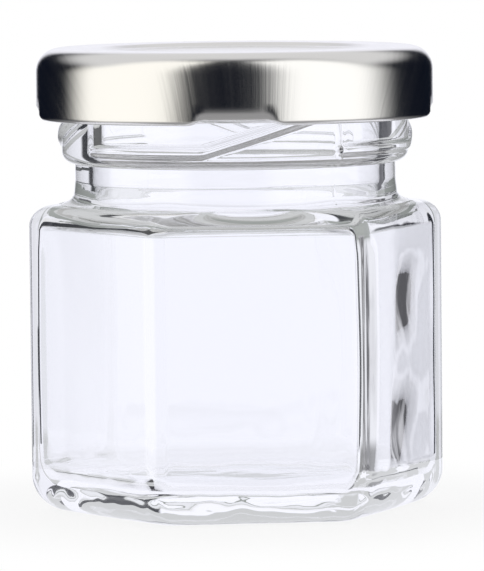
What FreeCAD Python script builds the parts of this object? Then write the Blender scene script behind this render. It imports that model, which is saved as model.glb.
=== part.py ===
import FreeCAD, Part
import math
import os
import re
import Sketcher
from FreeCAD import Placement, Rotation, Vector

# A small six-sided glass jar for spices, empty, closed by a twist-off lid of bright tinplate.
# Two pieces: the pressed glass jar and the lid that rests on its rim.
# The frame: +Z up, the origin under the middle of the base, one flat of the body facing -Y.

SIZES = [
    # the glass body
    ("across_flats", 42.6, "body, from one flat side to the opposite one"),
    ("corner_radius", 3.0, "round of the six upright corners"),
    ("heel_radius", 4.0, "round between the sides and the base"),
    ("shoulder_height", 35.6, "top of the body, where the neck starts"),
    ("shoulder_radius", 1.5, "round between the sides and the shoulder"),
    ("wall", 2.0, "glass in the flat sides"),
    ("floor_thickness", 3.4, "glass under the inner floor"),
    ("shoulder_wall", 2.0, "glass in the shoulder"),
    ("inner_corner_radius", 1.6, "round of the six corners inside"),
    ("inner_heel_radius", 2.6, "round between the inner walls and the floor"),
    ("cavity_round", 0.9, "round under the shoulder and at the foot of the bore"),
    ("push_up", 0.8, "height of the hollow under the base"),
    ("bearing_width", 2.2, "flat band of the base that stands on the table, at a side"),
    # the neck and its finish, heights counted from the shoulder
    ("neck_setback", 1.2, "finish wall, back from the flat sides"),
    ("waist_depth", 1.5, "waist of the neck, back from the finish wall"),
    ("ridge_depth", 0.3, "low ridge round the foot of the neck, out from the waist"),
    ("ridge_top", 2.5, "top of that ridge"),
    ("ridge_slope", 0.4, "height over which the ridge fades into the waist"),
    ("root_radius", 0.7, "hollow round between shoulder and neck"),
    ("waist_top", 4.7, "underside of the finish wall"),
    ("finish_corner", 1.4, "round of the finish wall's lower edge"),
    ("finish_height", 17.75, "rim of the glass"),
    ("neck_wall", 2.0, "glass in the waist"),
    ("lip_radius", 0.9, "round of the rim, outside and inside"),
    # the four thread ridges
    ("thread_depth", 0.45, "how far a thread stands out"),
    ("thread_base", 1.4, "height of a thread at the wall"),
    ("thread_crest", 0.7, "height of a thread at its crest"),
    ("thread_sink", 0.3, "how deep a thread starts inside the wall"),
    ("thread_level", 6.7, "middle of a thread's level run"),
    ("thread_start", 27.3, "degrees round from +X where the first level run starts"),
    ("thread_run", 46, "degrees of level run"),
    ("thread_ramp", 40, "degrees of rising ramp"),
    ("thread_rise", 4.3, "height gained on the ramp"),
    ("thread_taper", 4, "degrees over which a thread fades out"),
    ("stop_width", 6, "degrees that the upright stop at a thread's low end takes up"),
    ("stop_height", 4.2, "stop, up from the middle of the level run"),
    # the lid
    ("sheet", 0.25, "tinplate thickness"),
    ("lid_gap", 2.65, "room between finish wall and skirt"),
    ("lid_height", 8.2, "whole height of the lid"),
    ("lid_round", 2.7, "round between top and skirt, outside"),
    ("channel_margin", 0.4, "raised ring, inward past the bore"),
    ("channel_slope", 1.0, "width of the step down to the panel"),
    ("panel_drop", 0.5, "panel, below the raised ring"),
    ("curl_radius", 0.65, "outer round of the rolled lower edge"),
    ("lug_angle", 83.5, "degrees round from +X to the first lug"),
    ("lug_width", 28, "degrees that a lug takes up"),
    ("lug_clearance", 0.15, "lug tip, clear of the thread crests"),
    ("lug_height", 1.3, "height of a lug"),
    ("lug_dent", 0.6, "how far the skirt is pressed in above a lug, at its lower edge"),
    ("lug_lift", 0.25, "lug, above the lowest line of the rolled edge"),
]

STARTS = 4
HEEL_ANGLES = (0, 22.5, 45, 67.5, 90)
THREAD_TIP = 0.1

# Sizes that follow from the ones above, each written once and used in the formulas below.
DERIVED = {
    "apothem": "across_flats / 2",
    "finish_radius": "({apothem} - neck_setback)",
    "waist_radius": "({finish_radius} - waist_depth)",
    "ridge_radius": "({waist_radius} + ridge_depth)",
    "bore_radius": "({waist_radius} - neck_wall)",
    "inner_apothem": "({apothem} - wall)",
    "cavity_top": "(shoulder_height - shoulder_wall)",
    "rim": "(shoulder_height + finish_height)",
    "lid_radius": "({finish_radius} + lid_gap + sheet)",
    "lid_top": "({rim} + sheet)",
    "lid_foot": "({lid_top} - lid_height)",
    "channel_radius": "({bore_radius} - channel_margin)",
    "lug_tip": "({finish_radius} + thread_depth + lug_clearance)",
}

ALIASES = [name for name, value, note in SIZES]


def formula(text):
    """Writes a formula out in the sheet's own terms."""
    while "{" in text:
        text = text.format(**DERIVED)
    return re.sub(r"[a-z_]+", lambda word: "sizes." + word.group()
                  if word.group() in ALIASES else word.group(), text)


def make_sheet(doc):
    sheet = doc.addObject("Spreadsheet::Sheet", "sizes")
    for row, (name, value, note) in enumerate(SIZES, start=1):
        sheet.set("A%d" % row, name)
        sheet.set("B%d" % row, str(value))
        sheet.set("C%d" % row, note)
        sheet.setAlias("B%d" % row, name)
    doc.recompute()
    return sheet


def number(thing, text):
    """The present value of a formula."""
    return float(thing.evalExpression(formula(text)))


def bind(thing, prop, text):
    thing.setExpression(prop, formula(text))


# ---------------------------------------------------------------- sketches

def origin_part(body, role):
    return next(item for item in body.Origin.OriginFeatures if item.Role == role)


def new_sketch(body, name, plane, lift=None, turn=None):
    """A sketch on one of the body's own planes, lifted off it or turned about the upright axis."""
    sketch = body.newObject("Sketcher::SketchObject", name)
    sketch.AttachmentSupport = [(origin_part(body, plane), "")]
    sketch.MapMode = "FlatFace"
    if lift is not None:
        bind(sketch, "AttachmentOffset.Base.z", lift)
    if turn is not None:
        sketch.AttachmentOffset = Placement(Vector(), Rotation(Vector(0, 1, 0), number(sketch, turn)))
        bind(sketch, "AttachmentOffset.Rotation.Angle", turn)
    return sketch


def place_point(sketch, edge, end, across, up, tag):
    """Ties one point of the sketch to two formulas, its distances from the sketch's origin."""
    for kind, axis, text in (("DistanceX", -2, across), ("DistanceY", -1, up)):
        if text == "0":
            sketch.addConstraint(Sketcher.Constraint("PointOnObject", edge, end, axis))
            continue
        value = number(sketch, text)
        index = sketch.addConstraint(Sketcher.Constraint(kind, -1, 1, edge, end, value))
        sketch.renameConstraint(index, tag + kind[-1])
        bind(sketch, "Constraints." + tag + kind[-1], text)


def outline(body, name, plane, corners, lift=None, turn=None):
    """A closed outline of straight edges, each corner a pair of formulas (across, up)."""
    sketch = new_sketch(body, name, plane, lift, turn)
    points = [Vector(number(sketch, across), number(sketch, up), 0) for across, up in corners]
    for start, end in zip(points, points[1:] + points[:1]):
        sketch.addGeometry(Part.LineSegment(start, end))
    for edge in range(len(corners)):
        following = (edge + 1) % len(corners)
        sketch.addConstraint(Sketcher.Constraint("Coincident", edge, 2, following, 1))
    for edge, (across, up) in enumerate(corners):
        place_point(sketch, edge, 1, across, up, "corner%d" % edge)
    return sketch


def rounded_hexagon(body, name, apothem, radius, lift):
    """A hexagon with two level sides and round corners, on a level plane at the height lift."""
    sketch = new_sketch(body, name, "XY_Plane", lift)
    reach = number(sketch, apothem)
    bend = number(sketch, radius)
    half_side = (reach - bend) * math.tan(math.radians(30))
    for side in range(6):
        turned = Rotation(Vector(0, 0, 1), 60 * side)
        begin = turned.multVec(Vector(half_side, reach, 0))
        end = turned.multVec(Vector(-half_side, reach, 0))
        sketch.addGeometry(Part.LineSegment(begin, end))
    for side in range(6):
        middle = Rotation(Vector(0, 0, 1), 60 * side).multVec(Vector(-half_side, reach - bend, 0))
        first = math.radians(90 + 60 * side)
        circle = Part.Circle(middle, Vector(0, 0, 1), bend)
        sketch.addGeometry(Part.ArcOfCircle(circle, first, first + math.radians(60)))
    ring = sketch.addGeometry(Part.Circle(Vector(), Vector(0, 0, 1), reach), True)
    sketch.addConstraint(Sketcher.Constraint("Coincident", ring, 3, -1, 1))
    name_radius(sketch, ring, reach, "apothem", apothem)
    name_radius(sketch, 6, bend, "corner", radius)
    sketch.addConstraint(Sketcher.Constraint("Horizontal", 0))
    for side in range(6):
        arc = 6 + side
        following = (side + 1) % 6
        sketch.addConstraint(Sketcher.Constraint("Tangent", side, ring))
        sketch.addConstraint(Sketcher.Constraint("Tangent", side, 2, arc, 1))
        sketch.addConstraint(Sketcher.Constraint("Tangent", arc, 2, following, 1))
        if side:
            sketch.addConstraint(Sketcher.Constraint("Equal", arc, 6))
            sketch.addConstraint(Sketcher.Constraint("Angle", side - 1, side, math.radians(60)))
    return sketch


def name_radius(sketch, edge, value, tag, text):
    """Gives a circle or an arc a named radius tied to a formula."""
    index = sketch.addConstraint(Sketcher.Constraint("Radius", edge, value))
    sketch.renameConstraint(index, tag)
    bind(sketch, "Constraints." + tag, text)


# ---------------------------------------------------------------- features

def solid(body, kind, name, profile, **settings):
    """Adds a feature to the body and works it out, so that the next one can read its edges."""
    feature = body.newObject(kind, name)
    if profile is not None:
        feature.Profile = profile
    for prop, value in settings.items():
        setattr(feature, prop, value)
    body.Document.recompute()
    return feature


def pulled(body, kind, name, profile, length, **settings):
    """A pad or a pocket whose length is tied to a formula."""
    feature = body.newObject(kind, name)
    feature.Profile = profile
    bind(feature, "Length", length)
    for prop, value in settings.items():
        setattr(feature, prop, value)
    body.Document.recompute()
    return feature


def turned(body, kind, name, profile, sweep=None):
    """A profile turned about the upright axis, all the way or through the angle sweep."""
    settings = {"ReferenceAxis": (profile, ["V_Axis"])}
    if sweep is not None:
        settings.update(Angle=number(profile, sweep), Midplane=True)
    feature = solid(body, kind, name, profile, **settings)
    if sweep is not None:
        bind(feature, "Angle", sweep)
        body.Document.recompute()
    return feature


def rounded(body, name, base, radius, wanted):
    """A round of the named radius on the edges that the test picks."""
    names = ["Edge%d" % index for index, edge in enumerate(base.Shape.Edges, start=1) if wanted(edge)]
    if not names:
        raise RuntimeError("no edge for " + name)
    feature = body.newObject("PartDesign::Fillet", name)
    feature.Base = (base, names)
    bind(feature, "Radius", radius)
    body.Document.recompute()
    return feature


def around(body, name, features, count):
    """Repeats features evenly round the upright axis."""
    pattern = body.newObject("PartDesign::PolarPattern", name)
    pattern.Originals = features
    pattern.Axis = (origin_part(body, "Z_Axis"), [""])
    pattern.Angle = 360
    pattern.Occurrences = count
    body.Tip = pattern
    body.Document.recompute()
    return pattern


def level_edge(height):
    """A test for edges that lie level at a height."""
    def test(edge):
        box = edge.BoundBox
        return abs(box.ZMin - height) < 1e-4 and abs(box.ZMax - height) < 1e-4
    return test


def level_circle(radius, height):
    """A test for circles about the upright axis."""
    level = level_edge(height)

    def test(edge):
        return (level(edge) and hasattr(edge.Curve, "Radius")
                and abs(edge.Curve.Radius - radius) < 1e-4
                and math.hypot(edge.Curve.Center.x, edge.Curve.Center.y) < 1e-4)
    return test


# ---------------------------------------------------------------- the glass jar

def heel_sections(body, name, apothem, radius, heel, foot):
    """Rounded hexagons that step in and down round a quarter circle, from the sides to the foot."""
    sections = []
    for step, angle in enumerate(HEEL_ANGLES):
        inset = "%s - %s * (1 - cos(%s))" % (apothem, heel, angle)
        height = "%s + %s * (1 - sin(%s))" % (foot, heel, angle)
        sections.append(rounded_hexagon(body, "%s_%d" % (name, step), inset, radius, height))
    body.Document.recompute()
    return sections


def thread_section(body, name, along, lift, depth):
    """The section of a thread ridge at one place round the finish wall."""
    level = "shoulder_height + thread_level + " + lift
    crest = "{finish_radius} + " + depth
    root = "{finish_radius} - thread_sink"
    corners = [(root, level + " - thread_base / 2"), (crest, level + " - thread_crest / 2"),
               (crest, level + " + thread_crest / 2"), (root, level + " + thread_base / 2")]
    return outline(body, name, "XZ_Plane", corners, turn="thread_start + " + along)


def add_threads(body):
    """Four ridges, each an upright stop, a level run from its foot, and a ramp that fades out."""
    tip = "thread_depth * %s" % THREAD_TIP
    climb = "thread_rise * (1 - thread_taper / thread_ramp)"
    stations = [
        ("0", "0", tip),
        ("thread_taper", "0", "thread_depth"),
        ("thread_run / 2", "0", "thread_depth"),
        ("thread_run", "0", "thread_depth"),
        ("thread_run + thread_ramp / 3", "thread_rise / 3", "thread_depth"),
        ("thread_run + thread_ramp * 2 / 3", "thread_rise * 2 / 3", "thread_depth"),
        ("thread_run + thread_ramp - thread_taper", climb, "thread_depth"),
        ("thread_run + thread_ramp", "thread_rise", tip),
    ]
    sections = [thread_section(body, "thread_section_%d" % index, *station)
                for index, station in enumerate(stations)]
    body.Document.recompute()
    ridge = solid(body, "PartDesign::AdditiveLoft", "thread", sections[0], Sections=sections[1:])
    foot = "shoulder_height + thread_level"
    stop = outline(body, "stop_outline", "XZ_Plane", [
        ("{finish_radius} - thread_sink", foot + " - thread_crest / 2"),
        ("{finish_radius} + thread_depth", foot + " - thread_crest / 2"),
        ("{finish_radius} + thread_depth", foot + " + stop_height - thread_depth"),
        ("{finish_radius} - thread_sink", foot + " + stop_height + thread_sink")],
        turn="thread_start + stop_width / 2")
    stop = turned(body, "PartDesign::Revolution", "stop", stop, sweep="stop_width")
    return around(body, "threads", [ridge, stop], STARTS)


def make_jar(doc):
    body = doc.addObject("PartDesign::Body", "jar")
    body.Label = "jar"
    shoulder = number(body, "shoulder_height")

    # Body: a six-sided block, its shoulder edge rounded and its heel drawn in to the base.
    block_outline = rounded_hexagon(body, "block_outline", "{apothem}", "corner_radius", "heel_radius")
    block = pulled(body, "PartDesign::Pad", "block", block_outline, "shoulder_height - heel_radius")
    edge = rounded(body, "shoulder_round", block, "shoulder_radius", level_edge(shoulder))
    heel = heel_sections(body, "heel", "{apothem}", "corner_radius", "heel_radius", "0")
    solid(body, "PartDesign::AdditiveLoft", "heel", heel[0], Sections=heel[1:])

    # Neck: a low ridge, the waist, and the finish wall that carries the threads.
    neck = outline(body, "neck_outline", "XZ_Plane", [
        ("0", "{cavity_top}"),
        ("{ridge_radius}", "{cavity_top}"),
        ("{ridge_radius}", "shoulder_height + ridge_top"),
        ("{waist_radius}", "shoulder_height + ridge_top + ridge_slope"),
        ("{waist_radius}", "shoulder_height + waist_top"),
        ("{finish_radius}", "shoulder_height + waist_top"),
        ("{finish_radius}", "{rim}"),
        ("0", "{rim}")])
    neck = turned(body, "PartDesign::Revolution", "neck", neck)
    root = rounded(body, "root", neck, "root_radius",
                   level_circle(number(body, "{ridge_radius}"), shoulder))
    finish_foot = level_circle(number(body, "{finish_radius}"), number(body, "shoulder_height + waist_top"))
    rounded(body, "finish_foot", root, "finish_corner", finish_foot)
    add_threads(body)

    # Inside: a six-sided hollow with a rounded floor edge, and the round bore of the neck.
    foot = "floor_thickness + inner_heel_radius"
    inner = heel_sections(body, "inner_heel", "{inner_apothem}", "inner_corner_radius",
                          "inner_heel_radius", "floor_thickness")
    solid(body, "PartDesign::SubtractiveLoft", "inner_heel", inner[0], Sections=inner[1:])
    hollow = rounded_hexagon(body, "hollow_outline", "{inner_apothem}", "inner_corner_radius", foot)
    hollow = pulled(body, "PartDesign::Pocket", "hollow", hollow, "{cavity_top} - (%s)" % foot,
                    Reversed=True)
    ceiling = rounded(body, "ceiling_round", hollow, "cavity_round",
                      level_edge(number(body, "{cavity_top}")))
    bore = outline(body, "bore_outline", "XZ_Plane", [
        ("0", "{cavity_top} - cavity_round"),
        ("{bore_radius}", "{cavity_top} - cavity_round"),
        ("{bore_radius}", "{rim}"),
        ("0", "{rim}")])
    bore = turned(body, "PartDesign::Groove", "bore", bore)
    mouth = rounded(body, "bore_foot", bore, "cavity_round",
                    level_circle(number(body, "{bore_radius}"), number(body, "{cavity_top}")))
    inside_lip = level_circle(number(body, "{bore_radius}"), number(body, "{rim}"))
    outside_lip = level_circle(number(body, "{finish_radius}"), number(body, "{rim}"))
    lip = rounded(body, "lip", mouth, "lip_radius", lambda edge: inside_lip(edge) or outside_lip(edge))

    # Base: a shallow hollow, so that the jar stands on a band and not on its middle.
    reach = "{apothem} - heel_radius - bearing_width"
    base = outline(body, "push_up_outline", "XZ_Plane", [
        ("0", "0"), (reach, "0"), (reach + " - 2 * push_up", "push_up"), ("0", "push_up")])
    turned(body, "PartDesign::Groove", "push_up_hollow", base)
    return body


# ---------------------------------------------------------------- the lid

def make_lid(doc):
    body = doc.addObject("PartDesign::Body", "lid")
    body.Label = "lid"

    # Shell: one sheet all over, with a panel inside a raised ring and a straight skirt.
    curl_middle = "{lid_foot} + curl_radius"
    shell = outline(body, "shell_outline", "XZ_Plane", [
        ("0", "{lid_top} - panel_drop"),
        ("{channel_radius} - channel_slope", "{lid_top} - panel_drop"),
        ("{channel_radius}", "{lid_top}"),
        ("{lid_radius}", "{lid_top}"),
        ("{lid_radius}", curl_middle),
        ("{lid_radius} - sheet", curl_middle),
        ("{lid_radius} - sheet", "{rim}"),
        ("{channel_radius}", "{rim}"),
        ("{channel_radius} - channel_slope", "{rim} - panel_drop"),
        ("0", "{rim} - panel_drop")])
    shell = turned(body, "PartDesign::Revolution", "shell", shell)
    outside = rounded(body, "shoulder_outside", shell, "lid_round",
                      level_circle(number(body, "{lid_radius}"), number(body, "{lid_top}")))
    inside = rounded(body, "shoulder_inside", outside, "lid_round - sheet",
                     level_circle(number(body, "{lid_radius} - sheet"), number(body, "{rim}")))

    # Rolled edge: the sheet turned in and up round a half circle at the foot of the skirt.
    curl = new_sketch(body, "curl_outline", "XZ_Plane")
    hub = Vector(number(curl, "{lid_radius} - curl_radius"), number(curl, curl_middle), 0)
    for tag, text in (("outer", "curl_radius"), ("inner", "curl_radius - sheet")):
        circle = Part.Circle(hub, Vector(0, 0, 1), number(curl, text))
        arc = curl.addGeometry(Part.ArcOfCircle(circle, math.pi, 2 * math.pi))
        name_radius(curl, arc, number(curl, text), tag, text)
    place_point(curl, 0, 3, "{lid_radius} - curl_radius", curl_middle, "hub")
    curl.addConstraint(Sketcher.Constraint("Coincident", 1, 3, 0, 3))
    for end in (1, 2):
        edge = curl.addGeometry(Part.LineSegment(curl.getPoint(0, end), curl.getPoint(1, end)))
        curl.addConstraint(Sketcher.Constraint("Coincident", edge, 1, 0, end))
        curl.addConstraint(Sketcher.Constraint("Coincident", edge, 2, 1, end))
        curl.addConstraint(Sketcher.Constraint("Horizontal", edge))
    curl.addConstraint(Sketcher.Constraint("PointOnObject", 0, 3, 2))
    curl.addConstraint(Sketcher.Constraint("PointOnObject", 0, 3, 3))
    doc.recompute()
    turned(body, "PartDesign::Revolution", "curl", curl)

    # Lugs: four places where the rolled edge is pressed inward into a tongue.
    lug_foot = "{lid_foot} + lug_lift"
    lug = outline(body, "lug_outline", "XZ_Plane", [
        ("{lug_tip}", lug_foot),
        ("{lid_radius} - sheet / 2", lug_foot),
        ("{lid_radius} - sheet / 2", lug_foot + " + lug_height + lug_dent * 2"),
        ("{lid_radius} - sheet", lug_foot + " + lug_height + lug_dent * 2"),
        ("{lid_radius} - sheet - lug_dent", lug_foot + " + lug_height"),
        ("{lug_tip}", lug_foot + " + lug_height")], turn="lug_angle")
    lug = turned(body, "PartDesign::Revolution", "lug", lug, sweep="lug_width")
    dent = outline(body, "dent_outline", "XZ_Plane", [
        ("{lid_radius} - lug_dent", "{lid_foot} - sheet"),
        ("{lid_radius} + sheet", "{lid_foot} - sheet"),
        ("{lid_radius} + sheet", lug_foot + " + lug_height"),
        ("{lid_radius}", lug_foot + " + lug_height"),
        ("{lid_radius} - lug_dent", lug_foot)], turn="lug_angle")
    dent = turned(body, "PartDesign::Groove", "dent", dent, sweep="lug_width")
    around(body, "lugs", [lug, dent], STARTS)
    return body


# ---------------------------------------------------------------- the whole

def check(doc, pieces):
    for thing in doc.Objects:
        if "Invalid" in thing.State or "Error" in thing.State:
            raise RuntimeError("%s failed: %s" % (thing.Name, thing.State))
    for piece in pieces:
        shape = piece.Shape
        if shape.isNull() or not shape.isValid() or len(shape.Solids) != 1:
            raise RuntimeError("%s is not one sound solid" % piece.Label)


def main():
    doc = FreeCAD.newDocument("spice_jar")
    make_sheet(doc)
    pieces = [make_jar(doc), make_lid(doc)]
    doc.recompute()
    check(doc, pieces)
    os.makedirs("parts", exist_ok=True)
    for piece in pieces:
        piece.Shape.exportStep("parts/%s.step" % piece.Label)
        print(piece.Label, "volume %.0f mm3" % piece.Shape.Volume, piece.Shape.BoundBox)


main()
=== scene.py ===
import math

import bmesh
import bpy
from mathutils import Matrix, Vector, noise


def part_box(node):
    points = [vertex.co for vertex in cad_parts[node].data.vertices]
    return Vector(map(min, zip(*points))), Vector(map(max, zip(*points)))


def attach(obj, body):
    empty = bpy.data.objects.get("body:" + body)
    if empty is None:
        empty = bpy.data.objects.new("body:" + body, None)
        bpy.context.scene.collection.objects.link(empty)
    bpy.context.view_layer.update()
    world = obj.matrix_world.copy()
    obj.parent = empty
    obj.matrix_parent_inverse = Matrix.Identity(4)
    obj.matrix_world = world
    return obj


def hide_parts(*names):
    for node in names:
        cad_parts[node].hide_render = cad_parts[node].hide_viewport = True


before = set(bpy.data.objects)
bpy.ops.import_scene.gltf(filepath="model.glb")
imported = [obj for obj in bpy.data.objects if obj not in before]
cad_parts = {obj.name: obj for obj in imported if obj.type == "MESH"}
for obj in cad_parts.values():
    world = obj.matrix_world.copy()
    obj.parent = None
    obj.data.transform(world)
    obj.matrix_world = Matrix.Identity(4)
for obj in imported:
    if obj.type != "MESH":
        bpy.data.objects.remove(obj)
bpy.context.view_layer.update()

# %% [markdown]
# # A hexagonal spice jar of clear glass with a satin tinplate lid
#
# The frame gives two solids, the jar and the lid, at their real size. Both are right in shape,
# but they are made of flat triangles, and clear glass shows every one of them as a broken
# reflection. So this lesson makes the same two pieces again with dense, smooth meshes. Each
# starts as a half section that is spun round the upright axis, as on a lathe. Then the round jar
# is pressed into its hexagonal body, as in a mould, and the round lid gets its four pressed lugs.

MM = 0.001
SCENE = bpy.context.scene
SCENE.view_settings.view_transform = "Standard"

# %% [markdown]
# ## Sizes
#
# The outer sizes come from the boxes of the two CAD nodes. The rest are sizes of the real thing,
# such as glass 2 mm thick and tinplate a quarter of a millimetre thick. In the frame one flat
# side of the body faces -Y and one upright corner points to +X.

# %% Sizes read from the frame
JAR_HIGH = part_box("jar")[1]
LID_LOW, LID_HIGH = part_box("lid")
APOTHEM = JAR_HIGH.y
RIM = JAR_HIGH.z
LID_RADIUS = LID_HIGH.x
LID_TOP = LID_HIGH.z
LID_FOOT = LID_LOW.z
for title, size in (("apothem", APOTHEM), ("rim height", RIM), ("lid radius", LID_RADIUS)):
    print("%s %.2f mm" % (title, size / MM))

# %% Sizes of the glass
WALL = 2.0 * MM
CORNER_BEND = 2.2 * MM
INNER_CORNER_BEND = 1.6 * MM
HEEL_BEND = 4.0 * MM
INNER_HEEL_BEND = 2.6 * MM
SHOULDER = 35.6 * MM
SHOULDER_BEND = 2.5 * MM
ROOT_BEND = 1.2 * MM
FLOOR = 3.4 * MM
CEILING = SHOULDER - WALL
PUSH_UP = 0.8 * MM
PUSH_UP_RADIUS = 14.5 * MM
FINISH_RADIUS = APOTHEM - 1.2 * MM
WAIST_RADIUS = FINISH_RADIUS - 1.5 * MM
NECK_FOOT_RADIUS = WAIST_RADIUS + 0.3 * MM
BORE_RADIUS = WAIST_RADIUS - WALL
NECK_FOOT_TOP = SHOULDER + 2.5 * MM
FINISH_FOOT = SHOULDER + 4.7 * MM
FINISH_BEND = 1.4 * MM
WAIST_BEND = 0.3 * MM / 4
LIP_BEND = 0.9 * MM

# %% [markdown]
# ## A half section with round corners
#
# A glass maker draws a jar as a half section: straight lines joined by arcs. The helpers below
# take the corners of such a line and put an arc of the given bend at each. Every point also
# carries how hexagonal the jar is there, from 0, round, to 1, fully six-sided, so that one line
# describes the six-sided body and the round neck together.

# %% Rounded half sections
ARC_STEP = math.radians(9)


def corner_arc(before, corner, after):
    """The arc that rounds one corner: points with their place and their share of the hexagon."""
    spot = Vector(corner["at"])
    towards = (Vector(before["at"]) - spot).normalized()
    onwards = (Vector(after["at"]) - spot).normalized()
    half_turn = towards.angle(onwards) / 2
    reach = corner["bend"] / math.tan(half_turn)
    middle = spot + (towards + onwards).normalized() * corner["bend"] / math.sin(half_turn)
    start = spot + towards * reach - middle
    sweep = start.angle_signed(spot + onwards * reach - middle)
    steps = max(2, math.ceil(abs(sweep) / ARC_STEP))
    first, last = corner["six"]
    points = []
    for step in range(steps + 1):
        share = step / steps
        angle = -sweep * share
        turned = Vector((start.x * math.cos(angle) - start.y * math.sin(angle),
                         start.x * math.sin(angle) + start.y * math.cos(angle)))
        points.append((middle + turned, first + (last - first) * share))
    return points


def at(radius, height, bend=0.0, six=0.0, six_after=None):
    """A corner of a half section. Its share of the hexagon may change along the arc."""
    if six_after is None:
        six_after = six
    return {"at": (radius, height), "bend": bend, "six": (six, six_after)}


def half_section(corners, spacing):
    """The whole line, with its straight stretches cut into pieces no longer than the spacing."""
    points = []
    for index, corner in enumerate(corners):
        if corner["bend"] and 0 < index < len(corners) - 1:
            arc = corner_arc(corners[index - 1], corner, corners[index + 1])
        else:
            arc = [(Vector(corner["at"]), corner["six"][0])]
        if points:
            last, last_six = points[-1]
            first, first_six = arc[0]
            gap = first - last
            cuts = max(1, math.ceil(gap.length / spacing(last.lerp(first, 0.5))))
            for cut in range(1, cuts):
                share = cut / cuts
                points.append((last + gap * share, last_six + (first_six - last_six) * share))
        points.extend(arc)
    return points


# %% [markdown]
# ## On the lathe
#
# `bmesh.ops.spin` turns the half section round the upright axis. Two vertex layers travel with
# the points: the share of the hexagon, and the bend of the six corners, which is larger outside
# than inside. Merging by distance closes the poles on the axis.

# %% Spin a half section
def lathe(sections, steps):
    """Spins half sections, each with its own corner bend, into one closed round mesh."""
    bm = bmesh.new()
    six = bm.verts.layers.float.new("six")
    bend = bm.verts.layers.float.new("bend")
    previous = None
    for points, corner_bend in sections:
        for spot, share in points:
            vert = bm.verts.new((spot.x, 0, spot.y))
            vert[six] = share
            vert[bend] = corner_bend
            if previous is not None:
                bm.edges.new((previous, vert))
            previous = vert
    bmesh.ops.spin(bm, geom=bm.verts[:] + bm.edges[:], cent=(0, 0, 0), axis=(0, 0, 1),
                   angle=2 * math.pi, steps=steps, use_merge=True, use_duplicate=False)
    bmesh.ops.remove_doubles(bm, verts=bm.verts[:], dist=MM * 0.001)
    bmesh.ops.recalc_face_normals(bm, faces=bm.faces[:])
    return bm


def as_object(bm, name):
    """Puts a finished bmesh into the scene as a smooth object at the origin."""
    for face in bm.faces:
        face.smooth = True
    mesh = bpy.data.meshes.new(name)
    bm.to_mesh(mesh)
    bm.free()
    piece = bpy.data.objects.new(name, mesh)
    SCENE.collection.objects.link(piece)
    print(name, "has", len(mesh.polygons), "faces")
    return piece


# %% [markdown]
# ## The mould: six sides with round corners
#
# Seen from above the body is a hexagon with rounded corners, whose sides bulge outward by a fifth
# of a millimetre. The columns of the lathe stand evenly round the jar, and the mould also slides
# them towards the six corners, where the glass turns sharply and needs them most. Air shaped the
# inside, so the inner corners aren't all alike: every other one is rounder, with the sharper ones
# between.

# %% Press a round shape into a hexagon
SIXTH = math.pi / 3
CROWDING = 1.35
BULGE = 0.2 * MM
MID_BEND = (CORNER_BEND + INNER_CORNER_BEND) / 2
BEND_SPREAD = 0.35


def is_outside(corner_bend):
    """Whether a point is on the outer skin, which has the larger corner bend."""
    return corner_bend > MID_BEND


def hexagon_reach(apothem, bend, off_corner):
    """Distance from the axis to a rounded hexagon, at an angle from its nearest corner."""
    bend = min(bend, apothem)
    hub = (apothem - bend) / math.cos(SIXTH / 2)
    tangent = math.atan2(bend * 0.5, hub + bend * math.cos(SIXTH / 2))
    if abs(off_corner) > tangent:
        return apothem / math.cos(SIXTH / 2 - abs(off_corner))
    return hub * math.cos(off_corner) + math.sqrt(bend ** 2 - (hub * math.sin(off_corner)) ** 2)


def crowd(angle):
    """Slides an angle towards the nearest corner of the hexagon. Returns it and its offset."""
    corner = round(angle / SIXTH) * SIXTH
    off = angle - corner
    off = math.copysign(SIXTH / 2 * (abs(off) / (SIXTH / 2)) ** CROWDING, off)
    return corner + off, off


def press_into_hexagon(bm):
    """Moves every point of the round jar to its place in the six-sided mould."""
    six = bm.verts.layers.float["six"]
    bend = bm.verts.layers.float["bend"]
    for vert in bm.verts:
        radius = math.hypot(vert.co.x, vert.co.y)
        if radius < MM * 0.01:
            continue
        angle, off = crowd(math.atan2(vert.co.y, vert.co.x))
        corner_bend = vert[bend]
        if not is_outside(corner_bend):
            corner_bend *= 1 + BEND_SPREAD * math.cos(3 * angle)
        reach = hexagon_reach(radius, corner_bend, off)
        reach -= BULGE * (math.tan(SIXTH / 2 - abs(off)) / math.tan(SIXTH / 2)) ** 2
        radius += (reach - radius) * vert[six]
        vert.co.x = radius * math.cos(angle)
        vert.co.y = radius * math.sin(angle)


# %% [markdown]
# ## Threads, stops and the mould seam
#
# The neck carries four thread ridges. Each starts at a low upright stop, runs level, and then
# climbs like a ramp until it is hidden under the lid. They could be swept tubes joined to the
# neck, but glass must be one skin with nothing inside it, so the ridges are raised out of the
# wall itself. Where the two halves of the mould met, a hair-thin seam runs up the jar on two
# opposite corners.

# %% Relief on the neck
THREAD_START = math.radians(27.3)
THREAD_RUN = math.radians(46)
THREAD_RAMP = math.radians(40)
THREAD_RISE = 4.3 * MM
THREAD_LEVEL = SHOULDER + 6.7 * MM
THREAD_DEPTH = 0.45 * MM
THREAD_BASE = 0.75 * MM
THREAD_CREST = 0.3 * MM
THREAD_EASE = math.radians(4)
STOP_WIDTH = math.radians(7)
STOP_EASE = math.radians(3)
STOP_TOP = THREAD_LEVEL + 4 * MM
STOP_SHARE = 0.45
SEAM_WIDTH = 0.16 * MM
SEAM_HEIGHT = 0.05 * MM
SEAM_ANGLES = (-SIXTH, 2 * SIXTH)


def ease(value):
    """A smooth step from 0 to 1."""
    value = min(max(value, 0.0), 1.0)
    return value * value * (3 - 2 * value)


def ridge(distance):
    """The height of a ridge at a distance from its middle line, as a share of its full height."""
    return ease((THREAD_BASE - abs(distance)) / (THREAD_BASE - THREAD_CREST))


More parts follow.
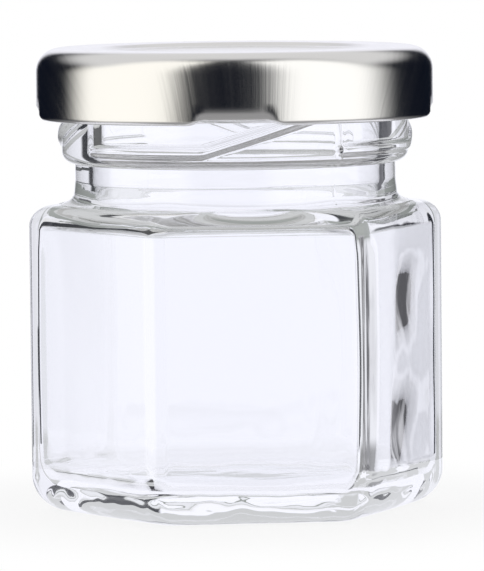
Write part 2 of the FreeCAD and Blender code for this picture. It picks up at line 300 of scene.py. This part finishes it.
def thread_relief(angle, height):
    """How far the glass stands out of the finish wall at one place."""
    along = (angle - THREAD_START) % (math.pi / 2)
    climb = max(0.0, along - THREAD_RUN) / THREAD_RAMP * THREAD_RISE
    fade = ease((THREAD_RUN + THREAD_RAMP - along) / THREAD_EASE) * ease(along / THREAD_EASE)
    thread = ridge(height - THREAD_LEVEL - climb) * fade
    middle = abs(along - STOP_WIDTH / 2)
    stop = ease((STOP_WIDTH / 2 - middle) / STOP_EASE)
    stop *= ease((height - THREAD_LEVEL + THREAD_BASE) / MM)
    stop *= ease((STOP_TOP - height) / MM)
    return THREAD_DEPTH * max(thread, stop * STOP_SHARE)


def seam_relief(angle, radius):
    """The mould seam, a fine raised line on two opposite corners."""
    nearest = min(abs(math.remainder(angle - seam, 2 * math.pi)) for seam in SEAM_ANGLES)
    return SEAM_HEIGHT * ease(1 - nearest * radius / SEAM_WIDTH)


# %% [markdown]
# ## Unevenness of pressed glass
#
# Bottle glass is smooth where it touched the iron mould, and slightly wavy inside, where air blew
# it out. The waves are about a tenth of a millimetre deep, on the floor a little more, but they
# bend what is seen through the wall into the smoky streaks that make the jar look like glass and
# not like a lens. The right-hand flat has two low swellings inside, which lean to one side, and
# at every other corner the glass was stretched thin. Each kind of wave takes its own seed, so
# that no two of them line up.

# %% Waves in the walls
WAVE_LENGTH = 13 * MM
INNER_WAVE = 0.11 * MM
OUTER_WAVE = 0.02 * MM
FLOOR_WAVE = 0.16 * MM
FLOOR_WAVE_LENGTH = 6 * MM
FINE_FLOOR_WAVE_LENGTH = 2.6 * MM
SHOULDER_WAVE = 0.12 * MM
SHOULDER_WAVE_LENGTH = 9 * MM
HEEL_WAVE = 0.025 * MM
HEEL_WAVE_LENGTH = 3 * MM
RIPPLE = 0.025 * MM
RIPPLE_LENGTH = 4 * MM
CREASE_FACE = math.radians(-30)
CREASE_SLOPE = 0.125
CREASE_RUN = 9 * MM
CREASE_START = -1.8 * MM
CREASE_END = 12 * MM
CREASE_LEAN = 4 * MM
CREASE_WAVE = 0.5 * MM
CREASE_WAVE_LENGTH = 3.5 * MM
HIGH_LOBE, HIGH_LOBE_SIZE = 0.7, 0.17
LOW_LOBE, LOW_LOBE_SIZE = 0.2, 0.19
CORNER_FLOW = 0.5 * MM
CORNER_FLOW_WIDTH = math.radians(6)


def wave(spot, length, seed):
    """Smooth noise between -1 and 1 at a place on the jar."""
    return noise.noise(Vector((spot.x / length + seed, spot.y / length, spot.z / (length * 1.6))))


def bell(distance, size):
    """A soft hump: 1 in the middle, and nearly nothing at twice its size."""
    return math.exp(-(distance / size) ** 2)


def wall_level(height):
    """0 at the floor inside the jar, 1 under the shoulder."""
    return (height - FLOOR) / (CEILING - FLOOR)


def crease(spot):
    """Two soft swellings inside the right-hand flat, each with a steeper left edge."""
    outward = Vector((math.cos(CREASE_FACE), math.sin(CREASE_FACE)))
    if spot.x * outward.x + spot.y * outward.y < APOTHEM * 0.8:
        return 0.0
    along = spot.y * outward.x - spot.x * outward.y
    level = wall_level(spot.z)
    rise = along - CREASE_START - (level - HIGH_LOBE) * CREASE_LEAN
    rise += CREASE_WAVE * wave(spot, CREASE_WAVE_LENGTH, seed=5)
    rise = min(max(rise, 0.0), CREASE_RUN)
    height = CREASE_SLOPE * (rise - rise ** 2 / (2 * CREASE_RUN))
    lobes = bell(level - HIGH_LOBE, HIGH_LOBE_SIZE) + bell(level - LOW_LOBE, LOW_LOBE_SIZE)
    return height * lobes * ease(level * 8) * ease((CREASE_END - along) / (3 * MM))


def corner_flow(spot, angle):
    """The glass is stretched thin inside the upright corners, at every other one."""
    off = abs(math.remainder(angle, SIXTH))
    level = wall_level(spot.z)
    stretched = ease(level * 8) * ease((1 - level) * 8)
    stretched *= 0.55 + 0.45 * math.sin(math.pi * level) ** 2
    every_other = (1 - math.cos(3 * angle)) / 2
    return -CORNER_FLOW * stretched * bell(off, CORNER_FLOW_WIDTH) * every_other


def outer_relief(spot, angle, radius):
    """Threads, seam, fine settling rings and the slight waves of the outer skin."""
    height = spot.z
    below_shoulder = SHOULDER - SHOULDER_BEND
    push = 0.0
    if height > FINISH_FOOT and radius > FINISH_RADIUS - FINISH_BEND:
        push += thread_relief(angle, height)
    if height > HEEL_BEND:
        push += seam_relief(angle, radius)
    if SHOULDER + ROOT_BEND < height < FINISH_FOOT:
        unrolled = Vector((angle * 2 * MM, 0, height * 7))
        push += RIPPLE * wave(unrolled, RIPPLE_LENGTH, seed=3)
    if HEEL_BEND < height < below_shoulder:
        push -= OUTER_WAVE * abs(wave(spot, WAVE_LENGTH, seed=7))
    elif height > below_shoulder and radius > NECK_FOOT_RADIUS + ROOT_BEND:
        rolling = SHOULDER_WAVE * abs(wave(spot, SHOULDER_WAVE_LENGTH, seed=11))
        push -= rolling * ease((height - SHOULDER + SHOULDER_BEND) / SHOULDER_BEND)
    elif height < HEEL_BEND:
        dimples = HEEL_WAVE * (1 + wave(spot, HEEL_WAVE_LENGTH, seed=13))
        push -= dimples * ease(height / MM) * ease((HEEL_BEND - height) / MM)
    return push


def inner_relief(spot, angle):
    """Waves, swellings and thin corners of the inner skin, with stronger waves near the floor."""
    push = INNER_WAVE * wave(spot, WAVE_LENGTH, seed=0) + crease(spot)
    push += corner_flow(spot, angle)
    low = ease((FLOOR + 5 * MM - spot.z) / (4 * MM))
    floor_wave = wave(spot, FLOOR_WAVE_LENGTH, seed=2)
    floor_wave += 0.4 * wave(spot, FINE_FLOOR_WAVE_LENGTH, seed=4)
    push += low * FLOOR_WAVE * floor_wave
    return push * ease((RIM - LIP_BEND - spot.z) / (3 * MM))


def finish_glass(bm):
    """Moves every point of both skins along its normal by its relief."""
    bend = bm.verts.layers.float["bend"]
    bm.normal_update()
    moves = []
    for vert in bm.verts:
        angle = math.atan2(vert.co.y, vert.co.x)
        if is_outside(vert[bend]):
            moves.append(outer_relief(vert.co, angle, math.hypot(vert.co.x, vert.co.y)))
        else:
            moves.append(inner_relief(vert.co, angle))
    for vert, push in zip(bm.verts, moves):
        vert.co += vert.normal * push


# %% [markdown]
# ## The jar
#
# The outer line runs from the hollow under the base, round the heel, up the side, over the
# shoulder and up the neck. The inner line comes back down the bore to the floor, and the two meet
# on the rim. The threads need closely spaced rings, so the spacing is finest there, and it is
# fine on the neck and inside the body, whose waves are seen through the glass.

# %% Model the jar
THREAD_ZONE_TOP = LID_FOOT + 2 * MM
THREAD_SPACING = 0.19 * MM
NECK_SPACING = 0.3 * MM
INSIDE_SPACING = 1.1 * MM
PLAIN_SPACING = 1.6 * MM
FLAT_FLOOR_RADIUS = 8 * MM
FLOOR_RISE = 0.25 * MM
JAR_STEPS = 300


def jar_spacing(spot):
    """The largest gap between two rings at a place of the half section."""
    if spot.x > WAIST_RADIUS and FINISH_FOOT < spot.y < THREAD_ZONE_TOP:
        return THREAD_SPACING
    if SHOULDER < spot.y < FINISH_FOOT:
        return NECK_SPACING
    if spot.x < APOTHEM - WALL / 2 and spot.y < CEILING:
        return INSIDE_SPACING
    return PLAIN_SPACING


OUTSIDE = half_section([
    at(0, PUSH_UP),
    at(PUSH_UP_RADIUS - 3 * PUSH_UP, PUSH_UP, 3 * MM),
    at(PUSH_UP_RADIUS, 0, 2 * MM),
    at(APOTHEM, 0, HEEL_BEND, six=1),
    at(APOTHEM, SHOULDER, SHOULDER_BEND, six=1),
    at(NECK_FOOT_RADIUS, SHOULDER, ROOT_BEND, six=0.3, six_after=0),
    at(WAIST_RADIUS, NECK_FOOT_TOP, 2 * MM),
    at(WAIST_RADIUS, FINISH_FOOT, WAIST_BEND),
    at(FINISH_RADIUS, FINISH_FOOT, FINISH_BEND),
    at(FINISH_RADIUS, RIM, LIP_BEND),
    at(BORE_RADIUS + 1.5 * MM, RIM),
], jar_spacing)
INSIDE = half_section([
    at(BORE_RADIUS + 1.4 * MM, RIM),
    at(BORE_RADIUS, RIM, LIP_BEND),
    at(BORE_RADIUS, CEILING, 1.0 * MM),
    at(APOTHEM - WALL, CEILING, 1.0 * MM, six=1),
    at(APOTHEM - WALL, FLOOR, INNER_HEEL_BEND, six=1),
    at(FLAT_FLOOR_RADIUS, FLOOR, six=0),
    at(0, FLOOR + FLOOR_RISE),
], jar_spacing)

bm = lathe([(OUTSIDE, CORNER_BEND), (INSIDE, INNER_CORNER_BEND)], JAR_STEPS)
press_into_hexagon(bm)
finish_glass(bm)
jar = as_object(bm, "glass_jar")
print("the jar has", len(OUTSIDE), "outer and", len(INSIDE), "inner rings")

# %% [markdown]
# ## The lid
#
# A twist-off lid is pressed from one round sheet of tinplate: a panel inside a raised ring, a
# round shoulder, a straight skirt, and a lower edge that is rolled inward. One open line is spun
# for the outer face of the sheet, and a Solidify modifier gives it the thickness of the metal.

# %% Half section of the lid
SHEET = 0.25 * MM
LID_BEND = 2.7 * MM
CURL_BEND = 0.65 * MM
RING_BEND = 1.2 * MM
CURL_RISE = 1.15 * MM
PANEL_DROP = 0.5 * MM
LID_STEPS = 360
RING_RADIUS = BORE_RADIUS - 0.4 * MM
CURL_RADIUS = LID_RADIUS - 2 * CURL_BEND


def lid_spacing(spot):
    """Rings stand close in the lowest 3 mm, where the lugs are pressed."""
    return 0.25 * MM if spot.y < LID_FOOT + 3 * MM else 1.2 * MM


LID_LINE = half_section([
    at(0, LID_TOP - PANEL_DROP),
    at(RING_RADIUS - MM, LID_TOP - PANEL_DROP, RING_BEND),
    at(RING_RADIUS, LID_TOP, RING_BEND),
    at(LID_RADIUS, LID_TOP, LID_BEND),
    at(LID_RADIUS, LID_FOOT, CURL_BEND * 0.99),
    at(CURL_RADIUS, LID_FOOT, CURL_BEND * 0.99),
    at(CURL_RADIUS, LID_FOOT + CURL_RISE),
], lid_spacing)

# %% [markdown]
# ## The lugs
#
# At four places the rolled edge is pinched inward by a tool, which leaves a shallow, slanting
# dent in the skirt and a tongue behind it that catches the thread. The dent is narrower at its
# top. It could be cut with a boolean, but moving the sheet's own points keeps the metal one even
# skin.

# %% Press the lugs
LUG_ANGLE = math.radians(83.5)
LUG_HALF_WIDTH = math.radians(14)
LUG_TOP_HALF_WIDTH = math.radians(8.5)
LUG_EDGE = math.radians(3.2)
LUG_DENT = 0.6 * MM
LUG_HEIGHT = 1.5 * MM
LUG_TIP = FINISH_RADIUS + THREAD_DEPTH + 0.15 * MM
LUG_LIFT = 0.25 * MM


def press_lugs(bm):
    """Dents the skirt at the four lugs, and draws the curl in and up behind each dent."""
    for vert in bm.verts:
        above_foot = vert.co.z - LID_FOOT
        radius = math.hypot(vert.co.x, vert.co.y)
        if above_foot > LUG_HEIGHT or radius < LUG_TIP:
            continue
        angle = math.atan2(vert.co.y, vert.co.x)
        off = abs(math.remainder(angle - LUG_ANGLE, math.pi / 2))
        up = above_foot / LUG_HEIGHT
        half_width = LUG_HALF_WIDTH + (LUG_TOP_HALF_WIDTH - LUG_HALF_WIDTH) * up
        side = ease((half_width - off) / LUG_EDGE)
        depth = ease((1 - up) / 0.9)
        inward = (LID_RADIUS - radius) / (LID_RADIUS - CURL_RADIUS)
        push = side * (LUG_DENT * depth * (1 - inward) + (CURL_RADIUS - LUG_TIP) * inward)
        scale = (radius - push) / radius
        vert.co.x *= scale
        vert.co.y *= scale
        vert.co.z += LUG_LIFT * side * ease(1 - up * 1.5)


# %% Model the lid
bm = lathe([(LID_LINE, CORNER_BEND)], LID_STEPS)
press_lugs(bm)
lid = as_object(bm, "tinplate_lid")
skin = lid.modifiers.new("sheet", "SOLIDIFY")
skin.thickness = SHEET
skin.offset = -1
skin.use_even_offset = False

# %% [markdown]
# ## Node trees
#
# Materials and surroundings are trees of nodes. The class below adds and links them in one line
# each, so that a tree reads like a formula. Both the jar's glass and its surroundings tell places
# apart by their direction, counted from the side where the camera stands.

# %% A helper for node trees
VIEW_TURN = math.radians(-6.7)


class Tree:
    """A node tree under construction. Its methods add nodes and return their output sockets."""

    def __init__(self, tree):
        self.nodes = tree.nodes
        self.links = tree.links

    def add(self, kind, inputs=None, **settings):
        """A new node. Its inputs are given by name or number, as values or sockets to link."""
        node = self.nodes.new("ShaderNode" + kind)
        for name, value in settings.items():
            setattr(node, name, value)
        for name, value in (inputs or {}).items():
            self.feed(node.inputs[name], value)
        return node

    def feed(self, socket, value):
        """Sets a plain value, or links a socket."""
        if isinstance(value, bpy.types.NodeSocket):
            self.links.new(value, socket)
        else:
            socket.default_value = value

    def feed_all(self, shader, values):
        """Sets or links several inputs of a shader, given by name."""
        for name, value in values.items():
            self.feed(shader.inputs[name], value)

    def maths(self, operation, *values):
        return self.add("Math", dict(enumerate(values)), operation=operation).outputs[0]

    def vector(self, operation, *values):
        return self.add("VectorMath", dict(enumerate(values)), operation=operation).outputs[0]

    def vector_value(self, operation, *values):
        node = self.add("VectorMath", dict(enumerate(values)), operation=operation)
        return node.outputs["Value"]

    def length(self, value):
        return self.vector_value("LENGTH", value)

    def scaled(self, value, factor):
        return self.add("VectorMath", {0: value, "Scale": factor}, operation="SCALE").outputs[0]

    def split(self, value):
        return self.add("SeparateXYZ", {0: value}).outputs

    def step(self, value, start, end):
        """0 before start, 1 after end, smooth between them."""
        return self.add("MapRange", {"Value": value, "From Min": start, "From Max": end},
                        interpolation_type="SMOOTHSTEP").outputs["Result"]

    def between(self, share, low, high):
        """The low value where the share is 0, the high one where it is 1."""
        node = self.add("MapRange", {"Value": share, "To Min": low, "To Max": high})
        return node.outputs["Result"]

    def above(self, value, limit):
        return self.maths("GREATER_THAN", value, limit)

    def below(self, value, limit):
        return self.maths("LESS_THAN", value, limit)

    def flip(self, mask):
        return self.maths("SUBTRACT", 1.0, mask)

    def both(self, mask, other):
        """1 where both masks are."""
        return self.maths("MULTIPLY", mask, other)

    def either(self, mask, other):
        """1 where at least one of the masks is."""
        return self.maths("MAXIMUM", mask, other)

    def band(self, value, start, full, fading, end):
        """Rises from start to full and falls from fading to end."""
        return self.both(self.step(value, start, full), self.flip(self.step(value, fading, end)))

    def paint(self, below, mask, above):
        """Lays one colour over another where the mask is 1."""
        return self.add("Mix", {0: mask, 6: below, 7: above}, data_type="RGBA").outputs[2]

    def cover(self, share, shader, other):
        """Lays one shader over another, and gives both to the material."""
        mix = self.add("MixShader", {0: share, 1: shader.outputs[0], 2: other.outputs[0]})
        self.feed(self.nodes["Material Output"].inputs["Surface"], mix.outputs["Shader"])

    def degrees(self, rise, run):
        return self.maths("MULTIPLY", self.maths("ARCTAN2", rise, run), 180 / math.pi)

    def directions(self, vector):
        """Degrees from the camera's side, positive to the right, and the parts towards and up."""
        turned = self.add("VectorRotate", {"Vector": vector, "Angle": -VIEW_TURN},
                          rotation_type="Z_AXIS")
        right, away, up = self.split(turned.outputs["Vector"])
        towards = self.maths("MULTIPLY", away, -1.0)
        return self.degrees(right, towards), towards, up


def new_material(name):
    """A new material, its tree and its Principled shader."""
    material = bpy.data.materials.new(name)
    material.use_nodes = True
    return material, Tree(material.node_tree), material.node_tree.nodes["Principled BSDF"]


# %% [markdown]
# ## Clear glass
#
# Soda-lime glass bends light by 1.52 and is nearly colourless. Most of its look comes from its
# two skins, which the mesh has, so the surface itself stays simple: full transmission, no
# roughness, and a very faint unevenness.

# %% The glass surface
GLASS_COLOUR = (0.985, 0.988, 0.995, 1)
glass, tree, shader = new_material("clear_glass")
place = tree.add("TexCoord").outputs["Object"]
swirl = tree.add("TexNoise", {"Vector": place, "Scale": 260.0, "Detail": 2.0})
bump = tree.add("Bump", {"Height": swirl.outputs["Fac"], "Strength": 0.04, "Distance": 0.0002})
tree.feed_all(shader, {"Base Color": GLASS_COLOUR, "Transmission Weight": 1.0, "IOR": 1.52,
                       "Roughness": 0.0, "Normal": bump.outputs["Normal"]})

# %% [markdown]
# Some light is caught between the two skins. It runs along inside the wall and leaves it
# somewhere else. A renderer gives up on such light after a few turns and leaves it black. Here
# that
# light is replaced by painted light, an emission whose colour is painted by place on the jar:
# nearly white in the upright corners, a grey-green glow in the thick glass of the shoulder,
# lighter grey in the heel and the foot of the neck, painted shade in two stretches of the heel,
# and painted streaks of light and shade where the swellings are.

# %% The painted colour of caught light
CORNER_GLOW = (0.82, 0.83, 0.88, 1)
SHOULDER_GLOW = (0.34, 0.36, 0.35, 1)
HEEL_GLOW = (0.6, 0.61, 0.62, 1)
HEEL_PAINTED_SHADE = (0.05, 0.05, 0.06, 1)
STREAK_PAINTED_SHADE = (0.12, 0.12, 0.13, 1)
STREAK_PAINTED_LIGHT = (0.62, 0.62, 0.66, 1)
LEFT_HEEL_SPAN = (-74, -68, -48, -36)
RIGHT_HEEL_SPAN = (38, 46, 80, 90)
RIGHT_HEEL_SHARE = 0.6
HEEL_TOP, CORNER_FOOT = 7 * MM, 9 * MM
CREASE_OUTWARD = (math.cos(CREASE_FACE), math.sin(CREASE_FACE), 0)
CREASE_ALONG = (-math.sin(CREASE_FACE), math.cos(CREASE_FACE), 0)
CREASE_SPAN = (-2 * MM, 0.0, 11.5 * MM, 12.5 * MM)

height = tree.split(place)["Z"]
sideways = tree.directions(place)[0]
# Painted shade: two stretches of the heel glow dark where caught light is painted.
right_heel_shade = tree.maths("MULTIPLY", tree.band(sideways, *RIGHT_HEEL_SPAN), RIGHT_HEEL_SHARE)
painted_heel_shade = tree.either(tree.band(sideways, *LEFT_HEEL_SPAN), right_heel_shade)
in_corner = tree.step(height, HEEL_TOP, CORNER_FOOT)
in_shoulder = tree.step(height, CEILING - 1.5 * MM, CEILING)
in_neck = tree.step(height, SHOULDER + MM, NECK_FOOT_TOP)
beside = tree.vector_value("DOT_PRODUCT", place, CREASE_ALONG)
outward = tree.vector_value("DOT_PRODUCT", place, CREASE_OUTWARD)
in_crease = tree.both(tree.band(beside, *CREASE_SPAN), tree.step(outward, 17 * MM, 18 * MM))
drawn_out = tree.vector("MULTIPLY", place, (1, 1, 0.2))
# Painted light and shade: the caught light in the swellings is painted in streaks.
streaks = tree.add("TexNoise", {"Vector": drawn_out, "Scale": 650.0, "Detail": 3.0}).outputs["Fac"]
painted_streak_colour = tree.paint(STREAK_PAINTED_SHADE, tree.step(streaks, 0.4, 0.64), STREAK_PAINTED_LIGHT)
glow_colour = tree.paint(HEEL_GLOW, painted_heel_shade, HEEL_PAINTED_SHADE)
for mask, colour in ((in_corner, CORNER_GLOW), (in_shoulder, SHOULDER_GLOW),
                     (in_neck, HEEL_GLOW), (in_crease, painted_streak_colour)):
    glow_colour = tree.paint(glow_colour, mask, colour)
# The caught light is painted light, an emission that is no lamp.
glow = tree.add("Emission", {"Color": glow_colour})

# %% When light counts as caught
TURNS = 2.5
SHOULDER_TURNS = TURNS - 1
MOST_STEPS = 9.5
rays = tree.add("LightPath").outputs
shoulder_band = tree.band(height, CEILING - MM, CEILING, SHOULDER - 0.2 * MM, SHOULDER + 0.2 * MM)
turns = tree.between(shoulder_band, TURNS, SHOULDER_TURNS)
caught = tree.either(tree.above(rays["Glossy Depth"], turns),
                     tree.above(rays["Ray Depth"], MOST_STEPS))
tree.cover(caught, shader, glow)
jar.data.materials.append(glass)
print("turns before light counts as caught:", TURNS, "and in the shoulder", SHOULDER_TURNS)

# %% [markdown]
# ## Satin tinplate
#
# The sheet was rolled, which leaves fine straight lines along it. On the top they run from front
# to back. Where the press folded the skirt down, the same lines run down the front and sideways
# round the left and right. A place on the lid is therefore first laid flat again, about as on the
# sheet before pressing, and the grain is noise drawn out along the sheet. Reflections spread
# across such lines, which the Anisotropic value does, with its tangent set across the grain.

# %% Grain on a flattened sheet
TIN_COLOUR = (0.76, 0.75, 0.735, 1)
SKIRT_STRETCH = 0.5
GRAIN_LENGTHS = (1.0, 0.02, 1.0)
SMOOTHEST, ROUGHEST = 0.12, 0.24
tin, tree, shader = new_material("satin_tinplate")
place = tree.add("TexCoord").outputs["Object"]
x, y, z = tree.split(place)
flat = tree.add("CombineXYZ", {"X": x, "Y": y}).outputs["Vector"]
outward = tree.vector("NORMALIZE", flat)
down_skirt = tree.maths("MULTIPLY", tree.maths("SUBTRACT", LID_TOP, z), SKIRT_STRETCH)
on_sheet = tree.scaled(outward, tree.maths("ADD", tree.length(flat), down_skirt))
drawn_out = tree.vector("MULTIPLY", on_sheet, GRAIN_LENGTHS)
grain = tree.add("TexNoise", {"Vector": drawn_out, "Scale": 2600.0, "Detail": 4.0,
                              "Roughness": 0.6})
bump = tree.add("Bump", {"Height": grain.outputs["Fac"], "Strength": 0.35, "Distance": 0.00002})
rough = tree.between(grain.outputs["Fac"], SMOOTHEST, ROUGHEST)

# %% Tangent across the grain
facing = tree.add("NewGeometry").outputs["Normal"]
around = tree.vector("CROSS_PRODUCT", (0, 0, 1), outward)
down = tree.vector("CROSS_PRODUCT", around, facing)
parts = tree.split(outward)
across = tree.vector("ADD", tree.scaled(down, tree.maths("MULTIPLY", parts["X"], -1.0)),
                     tree.scaled(around, parts["Y"]))
tree.feed_all(shader, {"Base Color": TIN_COLOUR, "Metallic": 1.0, "Anisotropic": 0.4,
                       "Roughness": rough, "Normal": bump.outputs["Normal"], "Tangent": across})
lid.data.materials.append(tin)
print("the tinplate's roughness runs from", SMOOTHEST, "to", ROUGHEST)

# %% [markdown]
# ## The stage
#
# The jar stands on a small white table. Round the jar the table is partly matt paint that takes
# its shadow. Further out it melts into the white of the background. Only in a mirror is the front
# of the table painted grey, a painted shade that no lamp casts, and this paints the darker lines
# on the lid's lower edge and the heel.

# %% Table
TABLE_RADIUS = 64 * MM
TABLE_PAINT = (0.9, 0.9, 0.9, 1)
WHITE = (1, 1, 1, 1)
COOL_WHITE = (0.985, 0.99, 1.07, 1)
NEAR_GREY = (0.36, 0.36, 0.37, 1)
FRONT_START, FRONT_FULL = 26 * MM, 36 * MM
FADE_START, FADE_END = 24 * MM, 58 * MM
LEAST_GLOW = 0.87
bm = bmesh.new()
bmesh.ops.create_circle(bm, cap_ends=True, radius=TABLE_RADIUS, segments=96)
table = as_object(bm, "table")
paint, tree, shader = new_material("white_table")
tree.feed_all(shader, {"Base Color": TABLE_PAINT, "Roughness": 0.7})
place = tree.add("TexCoord").outputs["Object"]
from_middle = tree.length(place)
sideways = tree.directions(place)[0]
rays = tree.add("LightPath").outputs
facing_camera = tree.flip(tree.step(tree.maths("ABSOLUTE", sideways), 40, 80))
in_front = tree.both(tree.step(from_middle, FRONT_START, FRONT_FULL), facing_camera)
# Painted shade: only mirrored rays see the table's front grey.
painted_front_shade = tree.both(in_front, tree.above(rays["Glossy Depth"], 0.5))
colour = tree.paint(COOL_WHITE, painted_front_shade, NEAR_GREY)
colour = tree.paint(colour, rays["Is Camera Ray"], WHITE)
white = tree.add("Emission", {"Color": colour})
share = tree.between(tree.step(from_middle, FADE_START, FADE_END), LEAST_GLOW, 1.0)
tree.cover(share, shader, white)
table.data.materials.append(paint)

# %% [markdown]
# ## The light
#
# Glass and bright metal are lit with surfaces, not with lamps. The metal shows a soft white
# screen at each side of the camera and the dark room between and beyond them, and the white wall
# behind gives its edges a thin rim of light. What is seen through the glass is that white wall.
# Black cards stand beside it, out of view. They show only in light that was mirrored inside the
# wall of the glass, and the right one faintly in the rest. So they draw the fine dark lines along
# the corners, and the flats stay clear. All of it is far away, so it is painted on the world, as
# a colour that depends on the direction and on the way that the light took through the glass.
# Each span below gives the degrees where a thing begins, is full, starts to fade and ends.

# %% Where the surfaces stand
LEFT_SCREEN = (1.33, 1.31, 1.24, 1)
LEFT_SCREEN_SPAN = (-118, -90, -44, -24)
RIGHT_SCREEN = (1.36, 1.36, 1.34, 1)
RIGHT_SCREEN_SPAN = (12, 36, 76, 110)
SCREEN_TOP = (66, 84)
SIDE_STRIP_SPAN = (84, 92, 133.2, 134.6)
WALL_EDGE = (162, 172)
TOP_WHITE = (0.85, 0.85, 0.86, 1)
DARKNESS = (0.003, 0.005, 0.012, 1)
CARD_BLACK = (0.01, 0.012, 0.02, 1)
LEFT_CARD_SPAN = (-145, -140, -114, -106)
LEFT_CARD_EDGE = (-114, -106)
WIDE_CARD_RISE = (-8, -7.2, -3.9, -3.4)
HIGH_CARD_SPAN = (-140, -135, -126, -121)
HIGH_CARD_RISE = (22, 27, 36, 41)
RIGHT_CARD_SPAN = (104, 110, 144.5, 148)
RIGHT_CARD_TRACE = 0.12
BACK_CARD_SPAN = (108, 114, 164, 172)
BACK_CARD_RISE = (8, 14, 42, 50)

# %% Directions and ways of the light
world = bpy.data.worlds.new("studio")
SCENE.world = world
world.use_nodes = True
world.node_tree.nodes.clear()
tree = Tree(world.node_tree)
sideways, towards, up = tree.directions(tree.add("TexCoord").outputs["Generated"])
upward = tree.maths("MULTIPLY", tree.maths("ARCSINE", up), 180 / math.pi)
pitch = tree.degrees(up, towards)
rays = tree.add("LightPath").outputs
in_wall = tree.both(tree.above(rays["Glossy Depth"], 0.5),
                    tree.below(rays["Transmission Depth"], 2.5))
twice_in_wall = tree.both(tree.above(rays["Glossy Depth"], 1.5), in_wall)

# %% What mirrors show
low_enough = tree.flip(tree.step(upward, *SCREEN_TOP))
left_screen = tree.both(tree.band(sideways, *LEFT_SCREEN_SPAN), low_enough)
right_screen = tree.both(tree.band(sideways, *RIGHT_SCREEN_SPAN), low_enough)
wall = tree.step(tree.maths("ABSOLUTE", sideways), *WALL_EDGE)
side_strip = tree.both(tree.band(sideways, *SIDE_STRIP_SPAN), rays["Is Singular Ray"])
overhead = tree.both(tree.step(pitch, 74, 104), tree.step(upward, 20, 40))
underneath = tree.flip(tree.step(upward, -46, -12))
mirrored = DARKNESS
for mask, colour in ((left_screen, LEFT_SCREEN), (right_screen, RIGHT_SCREEN), (wall, COOL_WHITE),
                     (side_strip, COOL_WHITE), (overhead, TOP_WHITE), (underneath, NEAR_GREY)):
    mirrored = tree.paint(mirrored, mask, colour)

# %% What is seen through the glass
wide_card = tree.both(tree.flip(tree.step(sideways, *LEFT_CARD_EDGE)),
                      tree.band(upward, *WIDE_CARD_RISE))
high_card = tree.both(tree.band(sideways, *HIGH_CARD_SPAN), tree.band(upward, *HIGH_CARD_RISE))
left_card = tree.either(tree.band(sideways, *LEFT_CARD_SPAN), tree.either(high_card, wide_card))
right_card = tree.band(sideways, *RIGHT_CARD_SPAN)
right_share = tree.between(in_wall, RIGHT_CARD_TRACE, 1.0)
cards = tree.maths("ADD", tree.both(left_card, in_wall), tree.both(right_card, right_share))
back_card = tree.both(tree.band(sideways, *BACK_CARD_SPAN), tree.band(upward, *BACK_CARD_RISE))
cards = tree.either(cards, tree.both(twice_in_wall, back_card))
through = COOL_WHITE
for mask, colour in ((overhead, TOP_WHITE), (cards, CARD_BLACK), (underneath, NEAR_GREY)):
    through = tree.paint(through, mask, colour)

# %% The world itself
colour = tree.paint(mirrored, rays["Is Transmission Ray"], through)
colour = tree.paint(colour, rays["Is Camera Ray"], WHITE)
background = tree.add("Background", {"Color": colour})
tree.add("OutputWorld", {"Surface": background.outputs["Background"]})
print("the world's tree has", len(tree.nodes), "nodes")

# %% [markdown]
# ## The camera
#
# A long lens stands 65 cm away, a little above the lid and a few degrees to the left of the
# middle of the flat side, so that the nearest flat faces slightly to the right. It is rolled by
# about half a degree.

# %% Camera
DISTANCE = 650 * MM
CAMERA_HEIGHT = 75 * MM
LOOK_HEIGHT = 25.8 * MM
LOOK_ASIDE = 0.65 * MM
ROLL = math.radians(0.55)
LENS = 353.5
camera_data = bpy.data.cameras.new("camera")
camera_data.lens = LENS
camera = bpy.data.objects.new("camera", camera_data)
SCENE.collection.objects.link(camera)
SCENE.camera = camera
towards = Vector((math.sin(VIEW_TURN), -math.cos(VIEW_TURN), 0))
rightwards = Vector((math.cos(VIEW_TURN), math.sin(VIEW_TURN), 0))
camera.location = towards * DISTANCE + Vector((0, 0, CAMERA_HEIGHT))
aim = rightwards * LOOK_ASIDE + Vector((0, 0, LOOK_HEIGHT)) - camera.location
camera.rotation_euler = aim.to_track_quat("-Z", "Y").to_euler()
camera.rotation_euler.rotate_axis("Z", -ROLL)
camera_data.dof.use_dof = False
camera_data.clip_start = 10 * MM
print("camera at", [round(c / MM) for c in camera.location], "mm")

# %% [markdown]
# ## Tying the pieces to the frame
#
# Both pieces belong to the frame's one body, root. Each stands in for its CAD node.

# %% Ride and replace
for piece, node, slot in ((jar, "jar", "glass"), (lid, "lid", "tinplate")):
    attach(piece, "root")
    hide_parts(node)
